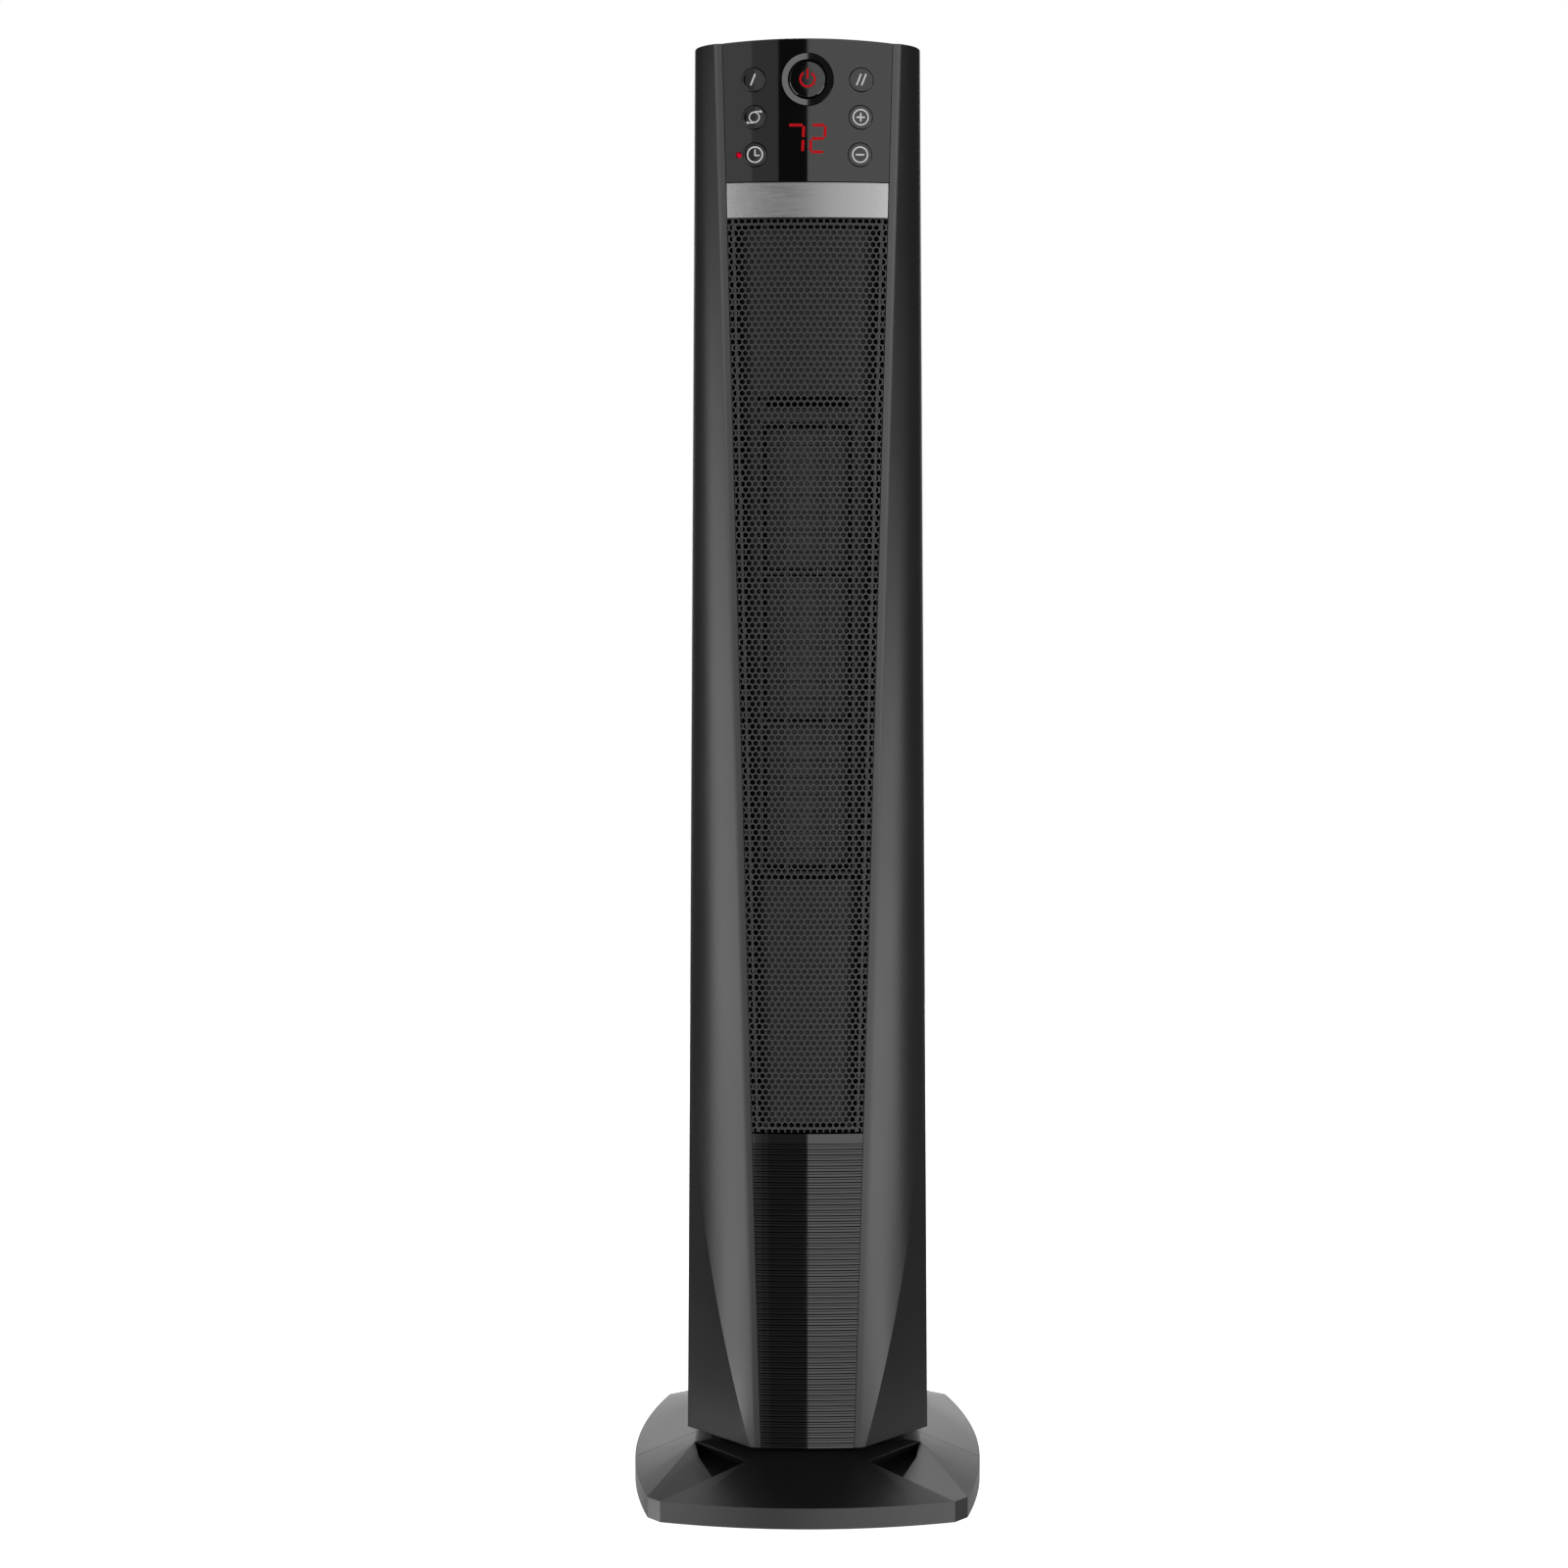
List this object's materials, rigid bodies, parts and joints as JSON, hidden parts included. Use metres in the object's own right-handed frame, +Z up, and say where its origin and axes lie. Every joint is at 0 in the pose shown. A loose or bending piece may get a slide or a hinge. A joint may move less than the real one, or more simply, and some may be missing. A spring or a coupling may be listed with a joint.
{
  "type": "tower heater",
  "caption": "Slim upright fan heater with a honeycomb outlet, touch controls and a tapering column that swivels on a low faceted base.",
  "frame": {"origin": "on the floor, on the swivel axis, at the centre of the base", "axes": "+Z up along the swivel axis, front with the controls facing -Y, +X to the right of someone looking at the front"},
  "size_m": [0.201, 0.2354, 0.8085],
  "materials": {
    "satin_black": "satin moulded plastic with a very fine grain",
    "soft_black": "dull moulded plastic",
    "gloss_black": "polished black plastic",
    "grille_black": "semi-matt stoved paint on a pressed sheet",
    "silver": "satin silver",
    "steel": "bright zinc-plated steel",
    "heater_alloy": "finned aluminium over ceramic chips",
    "board_green": "solder-resist green",
    "rubber": "black rubber",
    "nylon": "natural nylon",
    "red_lamp": "clear red lens"
  },
  "bodies": {
    "base": {"base_front": "satin_black", "base_rear": "satin_black", "bottom_plate": "soft_black", "ballast_weight": "steel", "cord_gland": "rubber", "foot_front_left": "rubber", "foot_front_right": "rubber", "foot_rear_left": "rubber", "foot_rear_right": "rubber", "swivel_plate": "steel", "thrust_washer": "nylon", "retaining_clip": "steel"},
    "column": {"turntable": "soft_black", "swivel_motor": "steel", "left_shell": "satin_black", "right_shell": "satin_black", "rear_cover": "satin_black", "top_cap": "satin_black", "control_panel": "gloss_black", "silver_band": "silver", "grille": "grille_black", "ribbed_panel": "gloss_black", "upper_blank": "soft_black", "lower_blank": "soft_black", "outlet_frame": "soft_black", "chassis": "soft_black", "heater_element_lower": "heater_alloy", "heater_element_middle": "heater_alloy", "heater_element_upper": "heater_alloy", "thermal_cutout": "steel", "tip_over_switch": "soft_black", "blower_housing": "soft_black", "shaft_bearing": "nylon", "motor_bracket": "steel", "blower_motor": "steel", "circuit_board": "board_green", "display_module": "soft_black", "power_ring": "gloss_black", "indicator_lamp": "red_lamp"},
    "blower": {"blower_wheel": "soft_black", "blower_shaft": "steel"},
    "crank": {"swivel_crank": "nylon"},
    "power_key": {"power_button": "gloss_black"},
    "low_heat_key": {"low_heat_button": "gloss_black"},
    "swivel_key": {"swivel_button": "gloss_black"},
    "timer_key": {"timer_button": "gloss_black"},
    "high_heat_key": {"high_heat_button": "gloss_black"},
    "plus_key": {"plus_button": "gloss_black"},
    "minus_key": {"minus_button": "gloss_black"}
  },
  "joints": [
    {"name": "column_swivel", "type": "hinge", "parent": "base", "child": "column", "pos_m": [0, 0, 0.03], "axis": [0, 0, 1], "range_deg": [-30, 30]},
    {"name": "crank_turn", "type": "hinge", "parent": "column", "child": "crank", "pos_m": [0, 0.026, 0.03], "axis": [0, 0, 1], "range_deg": [-90, 90]},
    {"name": "blower_spin", "type": "hinge", "parent": "column", "child": "blower", "pos_m": [0, -0.0037, 0.48], "axis": [0, 0, 1], "continuous": true},
    {"name": "power_press", "type": "slide", "parent": "column", "child": "power_key", "axis": [0, 1, 0], "range_m": [0, 0.001], "stiffness_N_per_m": 900, "springref_m": -0.0005},
    {"name": "low_heat_press", "type": "slide", "parent": "column", "child": "low_heat_key", "axis": [0.1061, 0.9944, 0], "range_m": [0, 0.001], "stiffness_N_per_m": 700, "springref_m": -0.0005},
    {"name": "swivel_press", "type": "slide", "parent": "column", "child": "swivel_key", "axis": [0.105, 0.9945, 0], "range_m": [0, 0.001], "stiffness_N_per_m": 700, "springref_m": -0.0005},
    {"name": "timer_press", "type": "slide", "parent": "column", "child": "timer_key", "axis": [0.104, 0.9946, 0], "range_m": [0, 0.001], "stiffness_N_per_m": 700, "springref_m": -0.0005},
    {"name": "high_heat_press", "type": "slide", "parent": "column", "child": "high_heat_key", "axis": [-0.1061, 0.9944, 0], "range_m": [0, 0.001], "stiffness_N_per_m": 700, "springref_m": -0.0005},
    {"name": "plus_press", "type": "slide", "parent": "column", "child": "plus_key", "axis": [-0.105, 0.9945, 0], "range_m": [0, 0.001], "stiffness_N_per_m": 700, "springref_m": -0.0005},
    {"name": "minus_press", "type": "slide", "parent": "column", "child": "minus_key", "axis": [-0.104, 0.9946, 0], "range_m": [0, 0.001], "stiffness_N_per_m": 700, "springref_m": -0.0005}
  ],
  "couplings": [
    {"joint": "crank_turn", "follows": "column_swivel", "ratio": -3}
  ]
}
